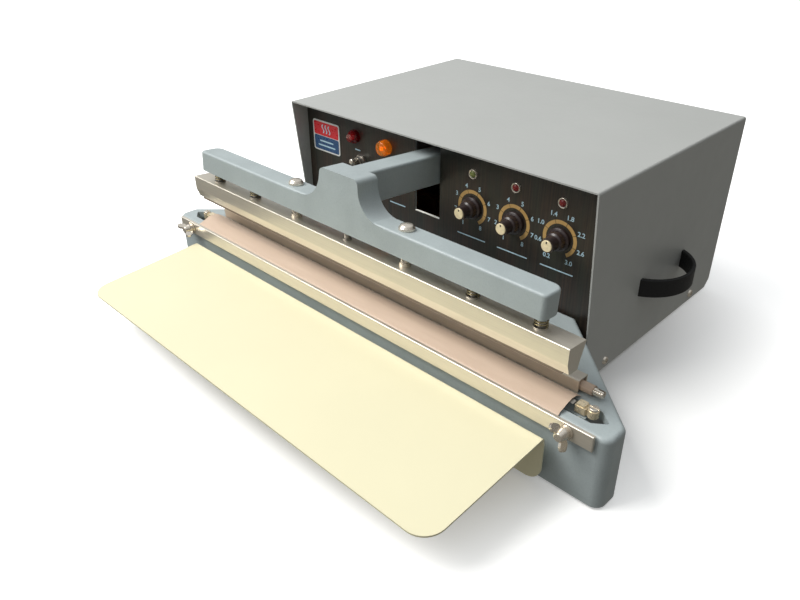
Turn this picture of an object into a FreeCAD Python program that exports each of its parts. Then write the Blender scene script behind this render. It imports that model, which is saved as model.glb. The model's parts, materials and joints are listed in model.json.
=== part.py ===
import FreeCAD, Part
import math
import os

# Impulse heat sealer with a powered arm.  Millimetres, +X along the jaws, +Y to the back, +Z up.
# Origin: on the floor, under the middle of the whole machine.

V = FreeCAD.Vector

# ---- driving dimensions -------------------------------------------------------------------
HALF_DEPTH = 260.5          # front edge of the work table to the fuse cap, halved
SHEET = 1.5                 # thickness of the cabinet's sheet steel

CABINET_HALF_WIDTH = 188.0
CABINET_BACK = 246.0
CABINET_BOTTOM = 3.5
CABINET_TOP = 192.5
VISOR_FRONT = -22.5         # front edge of the cover at the top
SIDE_FRONT_BOTTOM = -3.2    # front edge of the cover's sides at the bottom
PANEL_FRONT = -3.0          # front face of the dark overlay
OVERLAY_THICK = 0.4
OVERLAY_BOTTOM = 30.0
OVERLAY_HALF_WIDTH = 185.8
OVERLAY_TOP = 186.5

CASTING_FRONT = -127.0
CASTING_BACK = -4.5
CASTING_HALF_FRONT = 279.0
CASTING_HALF_BACK = 172.0
CASTING_SIDE_Y = -104.5     # where the slanting ends begin
CASTING_BOTTOM = 2.5
CASTING_TOP = 67.0
CASTING_WALL = 7.0

SEAL_Y = -108.5             # line of the heating element
RIDGE_HALF_WIDTH = 5.0
RIDGE_HALF_LENGTH = 228.0
RIDGE_TOP = 71.5
TAPE_THICK = 0.8
ELEMENT_THICK = 0.2
ELEMENT_HALF_WIDTH = 4.0
FABRIC_THICK = 0.5
FABRIC_HALF_LENGTH = 236.0
SLIP = 0.1                  # gap between stacked thin parts
BLOCK_INNER = 238.5         # inner end of the right tension block
BLOCK_Y = -105.5
BLOCK_SCREW_X = 252.5
BOSS_TOP = 69.4             # where the clamp screw's head sits

STRIP_HALF_LENGTH = 268.0
STRIP_BOTTOM = 54.8
STRIP_TOP = 68.3
STRIP_THICK = 3.0
FABRIC_GRIP = 0.7           # room behind the clamp strip for the fabric

WING_X = 246.0
WING_Z = 61.5
WING_SHANK = 3.0
RUNNING = 0.05              # radial running clearance

CHANNEL_FRONT = -95.0
CHANNEL_BACK = -83.0
CHANNEL_TOP = 79.0
CHANNEL_WALL = 1.2
CHANNEL_HALF_LENGTH = 232.0
ROD_RADIUS = 3.2
ROLL_RADIUS = 4.4
ROD_LEFT = -238.0
ROD_RIGHT = 250.5
ROLL_LEFT = -228.0
ROLL_RIGHT = 242.5

TABLE_HALF_WIDTH = 232.0
TABLE_BACK = -133.0
TABLE_FRONT_Z = 40.0
TABLE_BACK_Z = 49.0
TABLE_FLANGE_BOTTOM = 4.0
TABLE_CORNER = 18.0

ARM_X = -4.5                # line of the arm, a little left of the middle
PIVOT_Y = 179.0
PIVOT_Z = 145.4
OPEN_ANGLE = 4.55           # the arm stands this many degrees above level when it is open
SHAFT_RADIUS = 6.0
BUSH_RADIUS = 8.0
ARM_HALF_WIDTH = 12.0
ARM_HALF_HEIGHT = 15.0
ARM_TAIL = 226.0
BAR_HALF_LENGTH = 217.0
BAR_FRONT = -119.5
BAR_DEPTH = 23.5
BAR_HEIGHT = 20.5
HUMP_HALF_WIDTH = 25.5
HUMP_FLANK = 26.0           # radius that runs from the hump out to the bar
JAW_GAP = 11.5
JAW_LEFT = -238.5
JAW_RIGHT = 236.0
JAW_FRONT = -119.0
JAW_WIDTH = 22.0
JAW_HEIGHT = 23.0
RUBBER_THICK = 2.0
RUBBER_HALF_WIDTH = 5.0

SCREW_X = 72.0              # shoulder screws that carry the jaw, from the arm's line
SPRING_XS = (-206.0, -143.0, 141.0, 204.0)

SOLENOID_Y = 79.0
PLUNGER_RADIUS = 10.0
DRIVE_PIN_RADIUS = 3.0

DIAL_XS = (50.0, 98.0, 146.0)
DIAL_Z = 134.0
LED_Z = 167.0
KNOB_LENGTH = 18.5
SLOT_LEFT = -23.0           # slot in the panel that the arm swings in
SLOT_RIGHT = 9.5
SLOT_BOTTOM = 109.5
SLOT_TOP = 182.0
RED_LAMP = (-109.0, 166.5)
AMBER_LAMP = (-62.8, 165.5)
TOGGLES = {"power": (-100.5, 141.0), "mode": (-62.0, 136.0)}
TOGGLE_LENGTH = 20.0
TOGGLE_TILT = 12.0
BADGE = (-177.0, -134.0, 138.0, 172.0)

HANDLE_FRONT = 75.0
HANDLE_BACK = 161.0
HANDLE_Z = 70.0
HANDLE_HALF_HEIGHT = 9.0
HANDLE_REACH = 28.0
HANDLE_THICK = 3.5

FOOT_XS = (-170.0, 170.0)
FOOT_YS = (30.0, 200.0)
PAD_PLACES = ((-255.0, -112.0), (255.0, -112.0), (-165.0, -22.0), (165.0, -22.0))

# ---- derived levels, with the arm level and the jaws closed --------------------------------
BAR_BOTTOM = PIVOT_Z - ARM_HALF_HEIGHT - BAR_HEIGHT
BAR_TOP = PIVOT_Z - ARM_HALF_HEIGHT
JAW_TOP = BAR_BOTTOM - JAW_GAP
JAW_BOTTOM = JAW_TOP - JAW_HEIGHT
PIN_DROP = (PIVOT_Y - SOLENOID_Y) * math.sin(math.radians(OPEN_ANGLE))
PIN_XS = [x - ARM_X for x in SPRING_XS] + [0.0]     # guide pins, from the arm's line


# ---- helpers -------------------------------------------------------------------------------
def box(x0, x1, y0, y1, z0, z1):
    return Part.makeBox(x1 - x0, y1 - y0, z1 - z0, V(x0, y0, z0))


def rod(radius, start, end):
    """A cylinder between two points."""
    start, end = V(*start), V(*end)
    return Part.makeCylinder(radius, (end - start).Length, start, end - start)


def place(axis, u, v, along=0.0):
    """A point in the plane square to the axis: (y, z) for x, (x, z) for y, (x, y) for z."""
    return {"x": V(along, u, v), "y": V(u, along, v), "z": V(u, v, along)}[axis]


def outline(corners, axis):
    """A closed wire through corners (u, v, radius), each rounded by a tangent arc."""
    stops = []
    for i, (u, v, radius) in enumerate(corners):
        here = V(u, v, 0)
        to_prev = (V(*corners[i - 1][:2], 0) - here).normalize()
        to_next = (V(*corners[(i + 1) % len(corners)][:2], 0) - here).normalize()
        if radius == 0:
            stops.append((here, here, here))
            continue
        half = to_prev.getAngle(to_next) / 2
        middle = (to_prev + to_next).normalize()
        reach = radius / math.tan(half)
        bulge = here + middle * (radius / math.sin(half) - radius)
        stops.append((here + to_prev * reach, bulge, here + to_next * reach))
    edges = []
    for i, (start, bulge, end) in enumerate(stops):
        last = stops[i - 1][2]
        points = [place(axis, p.x, p.y) for p in (last, start, bulge, end)]
        if (start - last).Length > 1e-6:
            edges.append(Part.LineSegment(points[0], points[1]).toShape())
        if (end - start).Length > 1e-6:
            edges.append(Part.Arc(points[1], points[2], points[3]).toShape())
    return Part.Wire(Part.__sortEdges__(edges))


def prism(corners, axis, start, end):
    """The outline of rounded corners, drawn out along an axis from start to end."""
    corners = [(*c, 0) if len(c) == 2 else c for c in corners]
    face = Part.Face(outline(corners, axis))
    face.translate(place(axis, 0, 0, start))
    return face.extrude(place(axis, 0, 0, end - start))


def lathe(profile, at, axis):
    """A turned piece: profile corners (radius, height) spun about an axis through a point."""
    corners = [(*c, 0) if len(c) == 2 else c for c in profile]
    shape = Part.Face(outline(corners, "y")).revolve(V(0, 0, 0), V(0, 0, 1), 360)
    shape.Placement = FreeCAD.Placement(V(*at), FreeCAD.Rotation(V(0, 0, 1), V(*axis)))
    return shape


def round_edges(shape, radius, wanted):
    """Fillet the edges whose middle point passes the test."""
    edges = [e for e in shape.Edges if wanted(e.CenterOfMass, e)]
    return shape.makeFillet(radius, edges)


def coil(radius, wire, turns, bottom, top, x, y):
    """A spring that stands on a point, each half turn a slice of a ring tilted by a quarter pitch."""
    pitch = (top - bottom - wire) / turns
    tilt = math.atan2(pitch / 4, radius)
    halves = []
    for i in range(2 * turns):
        side = 1 if i % 2 == 0 else -1
        z = bottom + wire / 2 + i * pitch / 2
        disc = Part.Face(Part.Wire(Part.makeCircle(wire / 2, V(x + side * radius, y, z), V(0, 1, 0))))
        axis = V(side * math.sin(tilt), 0, math.cos(tilt))
        halves.append(disc.revolve(V(x, y, z + pitch / 4), axis, 180))
    return halves[0].multiFuse(halves[1:]).Solids[0]


def mirrored(shape):
    return shape.mirror(V(0, 0, 0), V(1, 0, 0))


def fused(shapes):
    shape = shapes[0]
    for other in shapes[1:]:
        shape = shape.fuse(other)
    return shape.removeSplitter()


def on_arm_line(shape):
    """Move a piece built about x = 0 to the line of the arm."""
    return shape.translated(V(ARM_X, 0, 0))


def opened(shape):
    """Turn a piece of the level arm up about its pivot, to where it rests."""
    shape = on_arm_line(shape)
    shape.rotate(V(0, PIVOT_Y, PIVOT_Z), V(1, 0, 0), -OPEN_ANGLE)
    return shape


def save(name, *shapes):
    shape = shapes[0] if len(shapes) == 1 else Part.makeCompound(list(shapes))
    shape.exportStep(f"parts/{name}.step")


# ---- base casting and what sits on it -------------------------------------------------------
def casting_outline(inset, corner):
    """Plan of the casting: wide at the front, its ends slanting in towards the cabinet."""
    side = inset * 1.6
    front, back = CASTING_FRONT + inset, CASTING_BACK - inset
    right = [(CASTING_HALF_FRONT - side, front, corner),
             (CASTING_HALF_FRONT - side, CASTING_SIDE_Y, corner * 0.75),
             (CASTING_HALF_BACK - side, back, 2)]
    left = [(-x, y, r) for x, y, r in reversed(right)]
    return left + right


def end_slot():
    """The pointed slot at the right end: open to below, but for a floor under the tension block."""
    points = [(229, -117), (257, -117), (268, -109), (257, -100.5), (229, -100.5)]
    slot = prism([(x, y, 1.5) for x, y in points], "z", CASTING_TOP - 12, CASTING_TOP + 1)
    return slot.cut(box(225, 249, BLOCK_Y - 5, -98, CASTING_TOP - 13, CASTING_TOP - 5))


def base_casting():
    shell = prism(casting_outline(0, 9), "z", CASTING_BOTTOM, CASTING_TOP)
    shell = round_edges(shell, 4, lambda c, e: c.z > CASTING_TOP - 0.1)
    hollow = prism(casting_outline(CASTING_WALL, 5), "z", CASTING_BOTTOM - 1, CASTING_TOP - CASTING_WALL)
    ribs = [box(x - 3, x + 3, CASTING_FRONT + 3, CASTING_BACK - 3, CASTING_BOTTOM + 4, CASTING_TOP - 3)
            for x in (-150, 0, 150)]
    bosses = [rod(9, (x, y, CASTING_BOTTOM), (x, y, CASTING_TOP - 3)) for x, y in PAD_PLACES]
    shell = fused([shell.cut(hollow)] + ribs + bosses)
    foot = RIDGE_HALF_WIDTH + 3
    ridge = prism([(SEAL_Y - foot, CASTING_TOP - 1), (SEAL_Y - RIDGE_HALF_WIDTH, RIDGE_TOP),
                   (SEAL_Y + RIDGE_HALF_WIDTH, RIDGE_TOP), (SEAL_Y + foot, CASTING_TOP - 1)],
                  "x", -RIDGE_HALF_LENGTH, RIDGE_HALF_LENGTH)
    shell = shell.fuse(ridge)
    slot = end_slot()
    for x in (-WING_X, WING_X):
        hole = rod(WING_SHANK + RUNNING, (x, CASTING_FRONT - 1, WING_Z), (x, CASTING_FRONT + 14, WING_Z))
        shell = shell.cut(hole)
    return shell.cut(slot).cut(mirrored(slot)).removeSplitter()


def front_clamp_strip():
    back = CASTING_FRONT - FABRIC_GRIP
    strip = box(-STRIP_HALF_LENGTH, STRIP_HALF_LENGTH, back - STRIP_THICK, back, STRIP_BOTTOM, STRIP_TOP)
    strip = round_edges(strip, 0.8, lambda c, e: abs(c.y - back + STRIP_THICK) < 0.1)
    for x in (-WING_X, WING_X):
        strip = strip.cut(rod(WING_SHANK + RUNNING, (x, back - 5, WING_Z), (x, back + 1, WING_Z)))
    return strip


def wing_screw(x, turn):
    """Wing screw: threaded shank, washer, tapered hub and two wings."""
    face = CASTING_FRONT - FABRIC_GRIP - STRIP_THICK - 0.3
    profile = [(0, -17), (WING_SHANK, -17), (WING_SHANK, 0), (6.5, 0), (6.5, 1.2), (5, 1.2),
               (5.2, 4, 0.5), (3.6, 10, 1), (0, 10)]
    hub = lathe(profile, (x, face, WING_Z), (0, -1, 0))
    wing = prism([(2, 3), (8, 4, 2), (11.5, 8.5, 2), (10, 13, 2.2), (6, 12, 2.2), (2, 7)], "y", -1.2, 1.2)
    wings = fused([wing, wing.mirror(V(0, 0, 0), V(1, 0, 0))])
    wings.rotate(V(0, 0, 0), V(1, 0, 0), 90)
    wings.rotate(V(0, 0, 0), V(0, 1, 0), turn)
    wings.translate(V(x, face, WING_Z))
    return fused([hub, wings])


def insulation_strip():
    return box(-RIDGE_HALF_LENGTH, RIDGE_HALF_LENGTH, SEAL_Y - RIDGE_HALF_WIDTH + 0.5,
               SEAL_Y + RIDGE_HALF_WIDTH - 0.5, RIDGE_TOP, RIDGE_TOP + TAPE_THICK)


def heating_element():
    bottom = RIDGE_TOP + TAPE_THICK
    bend = RIDGE_HALF_LENGTH + 1
    front, back = SEAL_Y - ELEMENT_HALF_WIDTH, SEAL_Y + ELEMENT_HALF_WIDTH
    band = box(-bend, bend, front, back, bottom, bottom + ELEMENT_THICK)
    end = BLOCK_INNER - 0.5
    tail = prism([(bend, bottom), (bend, bottom + ELEMENT_THICK), (end, bottom - 2.3), (end, bottom - 2.5)],
                 "y", SEAL_Y - 2.5, SEAL_Y + 2.5)
    return fused([band, tail, mirrored(tail)])


def ptfe_cover():
    """Release fabric: gripped behind the clamp strip, up over the element and down to the roll."""
    crest = RIDGE_TOP + TAPE_THICK + ELEMENT_THICK + SLIP
    above = crest + FABRIC_THICK
    grip = CASTING_FRONT - SLIP
    outside = grip - FABRIC_THICK
    front, back = SEAL_Y - RIDGE_HALF_WIDTH, SEAL_Y + RIDGE_HALF_WIDTH
    under = [(grip, STRIP_BOTTOM + 1), (grip, CASTING_TOP + 0.4), (front - 1.5, crest - 0.4),
             (front + 1, crest), (back - 1, crest), (back + 1.5, crest - 0.4),
             (CHANNEL_FRONT - 1.0, CASTING_TOP + 0.6)]
    over = [(CHANNEL_FRONT - 0.6, CASTING_TOP + 0.6 + FABRIC_THICK), (back + 1.6, crest + 0.15),
            (back - 0.9, above), (front + 0.9, above), (front - 1.7, crest + 0.15),
            (outside, CASTING_TOP + 0.8), (outside, STRIP_BOTTOM + 1)]
    return prism(under + over, "x", -FABRIC_HALF_LENGTH, FABRIC_HALF_LENGTH)


def rear_channel():
    """Inverted aluminium channel that houses the roll of release fabric."""
    half = CHANNEL_HALF_LENGTH
    outer = box(-half, half, CHANNEL_FRONT, CHANNEL_BACK, CASTING_TOP, CHANNEL_TOP)
    inner = box(-half - 1, half + 1, CHANNEL_FRONT + CHANNEL_WALL, CHANNEL_BACK - CHANNEL_WALL,
                CASTING_TOP - 1, CHANNEL_TOP - CHANNEL_WALL)
    channel = round_edges(outer, 1, lambda c, e: c.z > CHANNEL_TOP - 0.1 and abs(c.x) < 1)
    return channel.cut(inner)


def roll_centre():
    return (CHANNEL_FRONT + CHANNEL_BACK) / 2, CASTING_TOP + ROLL_RADIUS + 0.5


def roll_rod():
    y, z = roll_centre()
    shaft = rod(ROD_RADIUS, (ROD_LEFT, y, z), (ROD_RIGHT, y, z))
    shaft = round_edges(shaft, 0.8, lambda c, e: abs(c.x - ROD_RIGHT) < 0.1)
    return shaft.cut(box(ROD_RIGHT - 5, ROD_RIGHT + 1, y - 0.6, y + 0.6, z - 4, z + 4))


def ptfe_roll():
    y, z = roll_centre()
    roll = rod(ROLL_RADIUS, (ROLL_LEFT, y, z), (ROLL_RIGHT, y, z))
    return roll.cut(rod(ROD_RADIUS, (ROLL_LEFT - 1, y, z), (ROLL_RIGHT + 1, y, z)))


def tension_block():
    """Right-hand slider that keeps the element taut: a base with a clamp plate, a tongue and a boss."""
    low = CASTING_TOP - 3.5
    front, back = BLOCK_Y - 4.0, BLOCK_Y + 4.0
    base = prism([(BLOCK_INNER, front, 1), (248, front, 1), (248, back, 1), (BLOCK_INNER, back, 1)],
                 "z", low, CASTING_TOP + 2.0)
    plate = prism([(BLOCK_INNER + 1, front + 0.6, 1), (246.5, front + 0.6, 1), (246.5, back - 0.6, 1),
                   (BLOCK_INNER + 1, back - 0.6, 1)], "z", CASTING_TOP + 1.9, CASTING_TOP + 3.8)
    tongue = box(247, BLOCK_SCREW_X, BLOCK_Y - 2.4, BLOCK_Y + 2.4, low, CASTING_TOP + 1.0)
    boss = rod(4.2, (BLOCK_SCREW_X, BLOCK_Y, low), (BLOCK_SCREW_X, BLOCK_Y, BOSS_TOP))
    hole = rod(2.0, (BLOCK_SCREW_X, BLOCK_Y, BOSS_TOP - 5.2), (BLOCK_SCREW_X, BLOCK_Y, BOSS_TOP + 1))
    return fused([base, plate, tongue, boss]).cut(hole)


def tension_screw():
    """Slotted cheese-head screw in the block's boss."""
    screw = lathe([(0, -5), (2.0, -5), (2.0, 0), (3.6, 0), (3.6, 2.2, 0.8), (0, 2.2)],
                  (BLOCK_SCREW_X, BLOCK_Y, BOSS_TOP), (0, 0, 1))
    return screw.cut(box(BLOCK_SCREW_X - 5, BLOCK_SCREW_X + 5, BLOCK_Y - 0.5, BLOCK_Y + 0.5,
                         BOSS_TOP + 1.4, BOSS_TOP + 3))


# ---- work table ------------------------------------------------------------------------------
def work_table():
    """Bag table: one bent sheet, pitched down to the front, with a flange down the casting."""
    half, back = TABLE_HALF_WIDTH, TABLE_BACK
    slope = (TABLE_BACK_Z - TABLE_FRONT_Z) / (HALF_DEPTH + back)
    front_z, bend_z = TABLE_FRONT_Z - slope, TABLE_BACK_Z - 6
    top = prism([(-half, -HALF_DEPTH, TABLE_CORNER), (half, -HALF_DEPTH, TABLE_CORNER),
                 (half, back), (-half, back)], "z", 0, 100)
    slab = prism([(-HALF_DEPTH - 1, front_z - SHEET), (-HALF_DEPTH - 1, front_z),
                  (back - 2, TABLE_BACK_Z - 2 * slope, 2.5), (back, bend_z),
                  (back - SHEET, bend_z), (back - 2 - SHEET, TABLE_BACK_Z - 0.3 - SHEET, 1)],
                 "x", -half, half)
    flange = prism([(-half, TABLE_FLANGE_BOTTOM, 14), (half, TABLE_FLANGE_BOTTOM, 14),
                    (half, bend_z), (-half, bend_z)], "y", back - SHEET, back)
    table = fused([top.common(slab), flange])
    for x, z in table_screw_places():
        table = table.cut(rod(2.6, (x, TABLE_BACK - 3, z), (x, TABLE_BACK + 1, z)))
    return table


def table_screw_places():
    return [(x, 28.0) for x in (-190.0, -65.0, 65.0, 190.0)]


def table_screws():
    """Pan-head screws, each with the collar that stands the flange off the casting."""
    profile = [(0, -4.5), (5, -4.5), (5, 0), (2.5, 0), (2.5, 1.6), (4.5, 1.6), (4.5, 4, 1.5), (0, 4)]
    return [lathe(profile, (x, TABLE_BACK, z), (0, -1, 0)) for x, z in table_screw_places()]


# ---- cabinet -----------------------------------------------------------------------------------
def side_profile():
    """Side view of the cover: the visor stands over the panel, the front edge slants back down."""
    return [(VISOR_FRONT, CABINET_TOP), (SIDE_FRONT_BOTTOM, CABINET_BOTTOM),
            (CABINET_BACK - 8, CABINET_BOTTOM), (CABINET_BACK, CABINET_BOTTOM + 8), (CABINET_BACK, CABINET_TOP)]


def cabinet_cover():
    half = CABINET_HALF_WIDTH
    block = prism(side_profile(), "x", -half, half)
    block = round_edges(block, 2.5, lambda c, e: abs(abs(c.x) - half) < 0.1 and c.z > CABINET_TOP - 0.1)
    inner = half - SHEET
    core = box(-inner, inner, VISOR_FRONT - 1, CABINET_BACK + 1, CABINET_BOTTOM - 1, CABINET_TOP - SHEET)
    cover = block.cut(core)
    for y in FOOT_YS:
        cover = cover.cut(rod(2.1, (-half - 1, y, 12), (half + 1, y, 12)))
    return cover


def chassis_floor():
    half = CABINET_HALF_WIDTH - SHEET - 0.1
    front, back = SIDE_FRONT_BOTTOM + 4, CABINET_BACK - 9
    tray = box(-half, half, front, back, CABINET_BOTTOM, CABINET_BOTTOM + 18)
    inner = half - SHEET
    tray = tray.cut(box(-inner, inner, front - 1, back + 1, CABINET_BOTTOM + SHEET, CABINET_BOTTOM + 20))
    for y in FOOT_YS:
        tray = tray.cut(rod(2.1, (-half - 1, y, 12), (half + 1, y, 12)))
        for x in FOOT_XS:
            tray = tray.cut(rod(2.1, (x, y, CABINET_BOTTOM - 1), (x, y, CABINET_BOTTOM + 3)))
    return tray


def panel_holes(grow):
    """Everything that passes through the front panel, a little larger in the overlay."""
    front, back = PANEL_FRONT - 1, PANEL_FRONT + 6
    round_holes = [(x, DIAL_Z, 4.0) for x in DIAL_XS] + [(x, LED_Z, 4.1) for x in DIAL_XS]
    round_holes += [(*RED_LAMP, 6.1), (*AMBER_LAMP, 6.1)]
    round_holes += [(x, z, 6.1) for x, z in TOGGLES.values()]
    return [rod(r + grow, (x, front, z), (x, back, z)) for x, z, r in round_holes]


def panel_overlay():
    back = PANEL_FRONT + OVERLAY_THICK
    half = OVERLAY_HALF_WIDTH
    sheet = prism([(-half, OVERLAY_BOTTOM, 2), (half, OVERLAY_BOTTOM, 2),
                   (half, OVERLAY_TOP, 2), (-half, OVERLAY_TOP, 2)], "y", PANEL_FRONT, back)
    sheet = sheet.cut(box(SLOT_LEFT, SLOT_RIGHT, PANEL_FRONT - 1, back + 1, SLOT_BOTTOM, OVERLAY_TOP + 1))
    return sheet.cut(panel_holes(0.05))


def front_panel():
    front = PANEL_FRONT + OVERLAY_THICK
    half = CABINET_HALF_WIDTH - SHEET - 0.2
    top = CABINET_TOP - SHEET - 0.2
    sheet = box(-half, half, front, front + SHEET, CABINET_BOTTOM + 0.2, top)
    lip = box(-half, half, front, front + 14, top - SHEET, top)
    panel = fused([sheet, lip]).cut(panel_holes(0))
    return panel.cut(box(SLOT_LEFT, SLOT_RIGHT, front - 1, front + 3, SLOT_BOTTOM, SLOT_TOP))


def rear_panel():
    half = CABINET_HALF_WIDTH - SHEET - 0.2
    top = CABINET_TOP - SHEET - 0.2
    back = CABINET_BACK - 1.0
    sheet = box(-half, half, back - SHEET, back, CABINET_BOTTOM + 9, top)
    lip = box(-half, half, back - 14, back, top - SHEET, top)
    panel = fused([sheet, lip])
    for x in [i * 12.0 for i in range(-6, 7)]:
        vent = prism([(x - 1.5, 120, 1.4), (x + 1.5, 120, 1.4), (x + 1.5, 160, 1.4), (x - 1.5, 160, 1.4)],
                     "y", back - 3, back + 1)
        panel = panel.cut(vent)
    panel = panel.cut(box(-144, -116, back - 3, back + 1, 49, 71))
    return panel.cut([rod(6.1, (x, back - 3, 60), (x, back + 1, 60)) for x in (-80, 100)])


def badge_plate():
    x0, x1, z0, z1 = BADGE
    return prism([(x0, z0, 3), (x1, z0, 3), (x1, z1, 3), (x0, z1, 3)], "y", PANEL_FRONT - 0.6, PANEL_FRONT)


def handle():
    """Right-hand carrying strap, bowed out from the side."""
    wall = CABINET_HALF_WIDTH
    middle = (HANDLE_FRONT + HANDLE_BACK) / 2

    def bow(start, end, reach):
        return Part.Arc(V(wall, start, 0), V(wall + reach, middle, 0), V(wall, end, 0)).toShape()

    outer = bow(HANDLE_FRONT, HANDLE_BACK, HANDLE_REACH)
    inner = bow(HANDLE_FRONT + 5, HANDLE_BACK - 5, HANDLE_REACH - HANDLE_THICK)
    ends = [Part.LineSegment(V(wall, a, 0), V(wall, b, 0)).toShape()
            for a, b in ((HANDLE_FRONT, HANDLE_FRONT + 5), (HANDLE_BACK - 5, HANDLE_BACK))]
    plan = Part.Face(Part.Wire(Part.__sortEdges__([outer, inner] + ends)))
    plan.translate(V(0, 0, HANDLE_Z - HANDLE_HALF_HEIGHT))
    strap = plan.extrude(V(0, 0, 2 * HANDLE_HALF_HEIGHT))
    def long_edge(c, e):
        return abs(abs(c.z - HANDLE_Z) - HANDLE_HALF_HEIGHT) < 0.1 and e.Length > 20

    return round_edges(strap, 1, long_edge)


def rubber_feet():
    foot = [(0, 0), (9, 0, 0.6), (9, CABINET_BOTTOM), (0, CABINET_BOTTOM)]
    pad = [(0, 0), (8, 0, 0.6), (8, CASTING_BOTTOM), (0, CASTING_BOTTOM)]
    feet = [lathe(foot, (x, y, 0), (0, 0, 1)) for x in FOOT_XS for y in FOOT_YS]
    return feet + [lathe(pad, (x, y, 0), (0, 0, 1)) for x, y in PAD_PLACES]


def cover_screws():
    """Dome-head cross-recess screws low on the cover's sides."""
    wall = CABINET_HALF_WIDTH
    profile = [(0, -6), (2, -6), (2, 0), (4.2, 0), (3.4, 1.9, 1.2), (0, 2.4)]
    right = []
    for y in FOOT_YS:
        upright = box(wall + 1, wall + 3, y - 0.4, y + 0.4, 10, 14)
        level = box(wall + 1, wall + 3, y - 2, y + 2, 11.6, 12.4)
        right.append(lathe(profile, (wall, y, 12), (1, 0, 0)).cut(upright).cut(level))
    return right + [mirrored(s) for s in right]


# ---- controls on the panel ------------------------------------------------------------------------
def timer_knob(x):
    """Fluted knob with a wide skirt, turning as one with its spindle."""
    face = PANEL_FRONT - 0.4
    profile = [(0, -12), (2.9, -12), (2.9, 0), (10.6, 0), (10.6, 2.5, 0.8), (8.6, 3.6), (8.2, 9, 0.8),
               (6.6, 10.2), (6.2, KNOB_LENGTH), (5.2, KNOB_LENGTH), (5.2, KNOB_LENGTH - 1.2),
               (0, KNOB_LENGTH - 1.2)]
    knob = lathe(profile, (x, face, DIAL_Z), (0, -1, 0))
    for i in range(16):
        turn = 2 * math.pi * i / 16
        cx, cz = x + 8.9 * math.cos(turn), DIAL_Z + 8.9 * math.sin(turn)
        knob = knob.cut(rod(0.7, (cx, face - 3.4, cz), (cx, face - 10, cz)))
    return knob


def knob_cap(x):
    return lathe([(0, KNOB_LENGTH - 1.2), (5.2, KNOB_LENGTH - 1.2), (5.2, KNOB_LENGTH + 0.9, 0.5),
                  (0, KNOB_LENGTH + 0.9)], (x, PANEL_FRONT - 0.4, DIAL_Z), (0, -1, 0))


def timer_pots():
    """Potentiometer bodies behind the panel, bored for the spindles."""
    back = PANEL_FRONT + OVERLAY_THICK + SHEET
    pots = []
    for x in DIAL_XS:
        can = lathe([(0, 0), (11, 0), (11, 11, 1), (0, 11)], (x, back, DIAL_Z), (0, 1, 0))
        tags = box(x - 6, x + 6, back + 2, back + 4, DIAL_Z - 16, DIAL_Z - 10)
        neck = rod(3.9, (x, PANEL_FRONT, DIAL_Z), (x, back + 1, DIAL_Z))
        bore = rod(2.9 + RUNNING, (x, PANEL_FRONT - 2, DIAL_Z), (x, back + 10, DIAL_Z))
        pots.append(fused([can, tags, neck]).cut(bore))
    return pots


def led_bezel(x):
    """Thin ring round a diode's lens."""
    return lathe([(3.4, 9), (4.0, 9), (4.0, 0), (5.0, 0), (4.5, -2.0, 0.4), (3.4, -1.6)],
                 (x, PANEL_FRONT, LED_Z), (0, 1, 0))


def led(x):
    """Domed diode held in its ring."""
    profile = [(0, 10), (3.4, 10), (3.4, -1.6), (2.2, -2.8), (0, -3.2)]
    return lathe(profile, (x, PANEL_FRONT, LED_Z), (0, 1, 0))


def red_lamp():
    """Faceted lens on a round neck through the panel."""
    x, z = RED_LAMP
    profile = [(0, 16), (6, 16), (6, 0), (7.2, 0), (7.2, -4), (4.2, -9), (0, -9)]
    lens = lathe(profile, (x, PANEL_FRONT, z), (0, 1, 0))
    for i in range(10):
        facet = box(-6, 6, -14, 1, 6.9, 12)
        facet.rotate(V(0, 0, 0), V(0, 1, 0), 36 * i)
        facet.translate(V(x, PANEL_FRONT - 0.6, z))
        lens = lens.cut(facet)
    return lens


def amber_lamp():
    """Ribbed round lens on a round neck through the panel."""
    x, z = AMBER_LAMP
    profile = [(0, 16), (6, 16), (6, 0), (7.9, 0), (7.9, -6, 1), (6.9, -9, 1.5), (0, -10)]
    lens = lathe(profile, (x, PANEL_FRONT, z), (0, 1, 0))
    for i in range(20):
        turn = 2 * math.pi * i / 20
        cx, cz = x + 8.2 * math.cos(turn), z + 8.2 * math.sin(turn)
        lens = lens.cut(rod(0.6, (cx, PANEL_FRONT - 1.2, cz), (cx, PANEL_FRONT - 11, cz)))
    return lens


def toggle_bodies():
    """Switch cases behind the panel, each with a bush and nut in front."""
    back = PANEL_FRONT + OVERLAY_THICK + SHEET
    bodies = []
    for x, z in TOGGLES.values():
        case = box(x - 7, x + 7, back, back + 22, z - 13, z + 13)
        bush = rod(6.0, (x, PANEL_FRONT - 7, z), (x, back + 1, z))
        turns = [math.radians(60 * i) for i in range(6)]
        hexagon = [(x + 8 * math.cos(a), z + 8 * math.sin(a)) for a in turns]
        nut = prism(hexagon, "y", PANEL_FRONT - 2.6, PANEL_FRONT)
        well = Part.makeCone(3.2, 4.9, 13, V(x, PANEL_FRONT + 5.5, z), V(0, -1, 0))
        bodies.append(fused([case, bush, nut]).cut(well))
    return bodies


def toggle_lever(place_xz):
    """Bat lever with a rounded tip, pivoting inside its bush."""
    x, z = place_xz
    tip = TOGGLE_LENGTH
    lever = lathe([(0, 0), (1.4, 0), (1.5, 8), (2.9, tip - 3.5), (2.8, tip - 0.3, 1.5), (0, tip)],
                  (x, PANEL_FRONT + 3.5, z), (0, -1, 0))
    lever.rotate(V(x, PANEL_FRONT + 3.5, z), V(1, 0, 0), -TOGGLE_TILT)
    return lever


# ---- works inside the cabinet --------------------------------------------------------------------
def floor_top():
    return CABINET_BOTTOM + SHEET


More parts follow.
